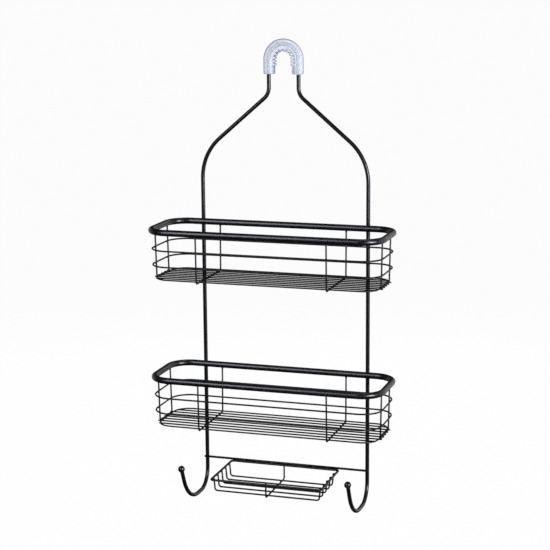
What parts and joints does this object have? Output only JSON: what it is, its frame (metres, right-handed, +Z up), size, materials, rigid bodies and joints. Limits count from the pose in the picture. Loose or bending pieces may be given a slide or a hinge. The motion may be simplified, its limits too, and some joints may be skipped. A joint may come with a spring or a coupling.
{
  "type": "hanging shower caddy",
  "caption": "Hanging wire shower caddy with thick-rimmed baskets, a soap dish, front hooks and a toothed clear sleeve on its top loop.",
  "frame": {"origin": "centre of the shower arm that the top loop hangs on", "axes": "+X to the right, +Y towards the wall, +Z up"},
  "size_m": [0.3184, 0.1183, 0.6165],
  "materials": {
    "coated_wire": "satin black baked coating on steel wire",
    "hook_tip": "glossy black moulded ball",
    "clear_sleeve": "clear soft plastic with a moulded tread"
  },
  "bodies": {
    "root": {"frame_wire": "coated_wire", "left_hook_tip": "hook_tip", "right_hook_tip": "hook_tip", "grip_sleeve": "clear_sleeve", "upper_rim": "coated_wire", "upper_band_top": "coated_wire", "upper_band_bottom": "coated_wire", "upper_floor_ring": "coated_wire", "upper_floor_wire_1": "coated_wire", "upper_floor_wire_2": "coated_wire", "upper_floor_wire_3": "coated_wire", "upper_floor_wire_4": "coated_wire", "upper_floor_wire_5": "coated_wire", "upper_floor_wire_6": "coated_wire", "upper_floor_wire_7": "coated_wire", "upper_cross_wire_left": "coated_wire", "upper_end_wire_left": "coated_wire", "upper_cross_wire_right": "coated_wire", "upper_end_wire_right": "coated_wire", "lower_rim": "coated_wire", "lower_band_top": "coated_wire", "lower_band_bottom": "coated_wire", "lower_floor_ring": "coated_wire", "lower_floor_wire_1": "coated_wire", "lower_floor_wire_2": "coated_wire", "lower_floor_wire_3": "coated_wire", "lower_floor_wire_4": "coated_wire", "lower_floor_wire_5": "coated_wire", "lower_floor_wire_6": "coated_wire", "lower_floor_wire_7": "coated_wire", "lower_cross_wire_left": "coated_wire", "lower_end_wire_left": "coated_wire", "lower_cross_wire_right": "coated_wire", "lower_end_wire_right": "coated_wire", "dish_bar": "coated_wire", "dish_frame": "coated_wire", "dish_wire_1": "coated_wire", "dish_wire_2": "coated_wire", "dish_wire_3": "coated_wire", "dish_wire_4": "coated_wire", "dish_wire_5": "coated_wire", "dish_cross_wire": "coated_wire"}
  },
  "joints": []
}
